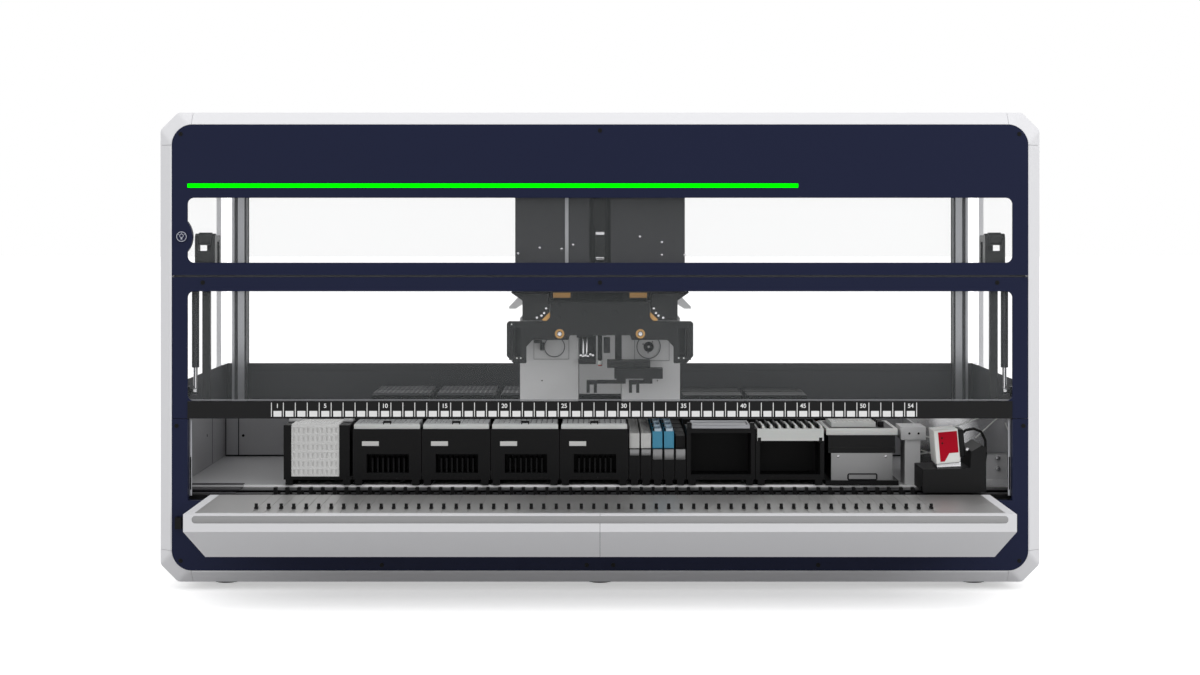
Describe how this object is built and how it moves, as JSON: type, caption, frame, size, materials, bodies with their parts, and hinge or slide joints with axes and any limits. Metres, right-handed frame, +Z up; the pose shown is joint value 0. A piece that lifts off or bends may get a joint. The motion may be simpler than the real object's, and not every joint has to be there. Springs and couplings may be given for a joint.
{
  "type": "liquid handling robot",
  "caption": "Bench liquid handling robot: cabinet with lift-up window cover, loading tray, sliding deck carriers, gantry arm with pipetting channels and gripper.",
  "frame": {"origin": "on the table at the centre of the overall width and depth", "axes": "+X right seen from the front, +Y towards the back, +Z up"},
  "size_m": [1.664, 1.006, 0.903],
  "materials": {
    "white_paint": "satin powder coat",
    "navy_paint": "satin",
    "clear_pane": "clear",
    "black_plastic": "matte",
    "black_metal": "satin black",
    "dark_sheet": "satin",
    "grey_cover": "satin",
    "profile_aluminium": "anodised",
    "brushed_plate": "brushed",
    "ground_steel": "ground",
    "machined_brass": "machined",
    "foot_rubber": "matte",
    "light_bar": "lit diffuser",
    "white_plastic": "semi-gloss",
    "blue_plastic": "semi-gloss"
  },
  "bodies": {
    "root": {"base_frame": "white_paint", "feet": "foot_rubber", "side_panels": "white_paint", "top_cover": "white_paint", "bezel": "white_paint", "upper_front_panel": "navy_paint", "upper_window": "clear_pane", "side_windows": "clear_pane", "rear_window": "clear_pane", "led_strip": "light_bar", "lower_front_frame": "navy_paint", "front_screws": "black_metal", "rear_panel": "dark_sheet", "rear_frame": "profile_aluminium", "deck_plate": "dark_sheet", "loading_trough": "black_metal", "guide_pins": "black_plastic", "tray_shell": "white_paint", "tray_top": "brushed_plate", "tray_latch": "black_plastic", "hinge_brackets": "black_metal", "waste_station": "grey_cover", "heater_module": "grey_cover"},
    "front_cover": {"cover_frame": "navy_paint", "cover_window": "clear_pane", "label_bar": "black_plastic", "hinge_arms": "black_metal"},
    "gas_cylinders": {"strut_cylinders": "dark_sheet"},
    "gas_rods": {"strut_rods": "ground_steel"},
    "light_button": {"light_button": "navy_paint"},
    "gantry_arm": {"arm_frame": "black_metal", "arm_tower": "dark_sheet", "arm_housings": "grey_cover", "arm_guide_rods": "ground_steel", "arm_brass": "machined_brass"},
    "pipetting_channel_1": {"channel_1": "black_plastic"},
    "pipetting_probe_1": {"probe_1": "black_metal"},
    "pipetting_channel_2": {"channel_2": "black_plastic"},
    "pipetting_probe_2": {"probe_2": "black_metal"},
    "gripper_lift": {"gripper_mast": "black_metal"},
    "gripper_head": {"gripper_head": "dark_sheet"},
    "jaw_left": {"gripper_jaw_left": "black_metal"},
    "jaw_right": {"gripper_jaw_right": "black_metal"},
    "loading_carriage": {"carriage_housing": "black_plastic", "scanner": "white_plastic", "scanner_cable": "black_plastic"},
    "tip_carrier": {"tip_carrier": "black_plastic", "tip_racks": "white_plastic"},
    "plate_carrier_1": {"plate_carrier_1": "black_plastic"},
    "plate_carrier_2": {"plate_carrier_2": "black_plastic"},
    "plate_carrier_3": {"plate_carrier_3": "black_plastic"},
    "plate_carrier_4": {"plate_carrier_4": "black_plastic"},
    "tube_carrier_1": {"tube_carrier_1": "black_plastic"},
    "tube_carrier_2": {"tube_carrier_2": "black_plastic"},
    "trough_carrier_1": {"trough_carrier_1": "blue_plastic"},
    "trough_carrier_2": {"trough_carrier_2": "blue_plastic"},
    "strip_carrier": {"strip_carrier": "black_plastic"},
    "open_carrier": {"open_carrier": "black_plastic"},
    "reservoir_carrier": {"reservoir_carrier": "black_plastic"}
  },
  "joints": [
    {"name": "cover_hinge", "type": "hinge", "parent": "root", "child": "front_cover", "pos_m": [0, -0.23, 0.664], "axis": [-1, 0, 0], "range_deg": [0, 90]},
    {"name": "strut_swing", "type": "hinge", "parent": "front_cover", "child": "gas_cylinders", "pos_m": [0, -0.222, 0.572], "axis": [-1, 0, 0], "range_deg": [-115, 0]},
    {"name": "strut_stroke", "type": "slide", "parent": "gas_cylinders", "child": "gas_rods", "axis": [0, 0, -1], "range_m": [0, 0.103]},
    {"name": "button_press", "type": "slide", "parent": "root", "child": "light_button", "axis": [0, 1, 0], "range_m": [0, 0.002], "stiffness_N_per_m": 400},
    {"name": "arm_travel", "type": "slide", "parent": "root", "child": "gantry_arm", "axis": [1, 0, 0], "range_m": [-0.6, 0.6]},
    {"name": "channel_1_travel", "type": "slide", "parent": "gantry_arm", "child": "pipetting_channel_1", "axis": [0, 1, 0], "range_m": [0, 0.08]},
    {"name": "probe_1_lower", "type": "slide", "parent": "pipetting_channel_1", "child": "pipetting_probe_1", "axis": [0, 0, -1], "range_m": [0, 0.085]},
    {"name": "channel_2_travel", "type": "slide", "parent": "gantry_arm", "child": "pipetting_channel_2", "axis": [0, 1, 0], "range_m": [0, 0.08]},
    {"name": "probe_2_lower", "type": "slide", "parent": "pipetting_channel_2", "child": "pipetting_probe_2", "axis": [0, 0, -1], "range_m": [0, 0.085]},
    {"name": "gripper_lower", "type": "slide", "parent": "gantry_arm", "child": "gripper_lift", "axis": [0, 0, -1], "range_m": [0, 0.038]},
    {"name": "gripper_turn", "type": "hinge", "parent": "gripper_lift", "child": "gripper_head", "pos_m": [0.082, -0.107, 0.391], "axis": [0, 0, 1], "range_deg": [-25, 60]},
    {"name": "jaw_open", "type": "slide", "parent": "gripper_head", "child": "jaw_left", "axis": [-1, 0, 0], "range_m": [0, 0.01]},
    {"name": "jaw_open_right", "type": "slide", "parent": "gripper_head", "child": "jaw_right", "axis": [1, 0, 0], "range_m": [0, 0.01]},
    {"name": "carriage_travel", "type": "slide", "parent": "root", "child": "loading_carriage", "axis": [1, 0, 0], "range_m": [-1.37, 0]},
    {"name": "tip_carrier_pull", "type": "slide", "parent": "root", "child": "tip_carrier", "axis": [0, -1, 0], "range_m": [0, 0.385]},
    {"name": "plate_carrier_1_pull", "type": "slide", "parent": "root", "child": "plate_carrier_1", "axis": [0, -1, 0], "range_m": [0, 0.385]},
    {"name": "plate_carrier_2_pull", "type": "slide", "parent": "root", "child": "plate_carrier_2", "axis": [0, -1, 0], "range_m": [0, 0.385]},
    {"name": "plate_carrier_3_pull", "type": "slide", "parent": "root", "child": "plate_carrier_3", "axis": [0, -1, 0], "range_m": [0, 0.385]},
    {"name": "plate_carrier_4_pull", "type": "slide", "parent": "root", "child": "plate_carrier_4", "axis": [0, -1, 0], "range_m": [0, 0.385]},
    {"name": "tube_carrier_1_pull", "type": "slide", "parent": "root", "child": "tube_carrier_1", "axis": [0, -1, 0], "range_m": [0, 0.385]},
    {"name": "tube_carrier_2_pull", "type": "slide", "parent": "root", "child": "tube_carrier_2", "axis": [0, -1, 0], "range_m": [0, 0.385]},
    {"name": "trough_carrier_1_pull", "type": "slide", "parent": "root", "child": "trough_carrier_1", "axis": [0, -1, 0], "range_m": [0, 0.385]},
    {"name": "trough_carrier_2_pull", "type": "slide", "parent": "root", "child": "trough_carrier_2", "axis": [0, -1, 0], "range_m": [0, 0.385]},
    {"name": "strip_carrier_pull", "type": "slide", "parent": "root", "child": "strip_carrier", "axis": [0, -1, 0], "range_m": [0, 0.385]},
    {"name": "open_carrier_pull", "type": "slide", "parent": "root", "child": "open_carrier", "axis": [0, -1, 0], "range_m": [0, 0.385]},
    {"name": "reservoir_carrier_pull", "type": "slide", "parent": "root", "child": "reservoir_carrier", "axis": [0, -1, 0], "range_m": [0, 0.385]}
  ],
  "couplings": [
    {"joint": "strut_swing", "follows": "cover_hinge", "ratio": -1.2177},
    {"joint": "strut_stroke", "follows": "cover_hinge", "m_per_rad": 0.064466},
    {"joint": "jaw_open_right", "follows": "jaw_open", "ratio": 1}
  ]
}
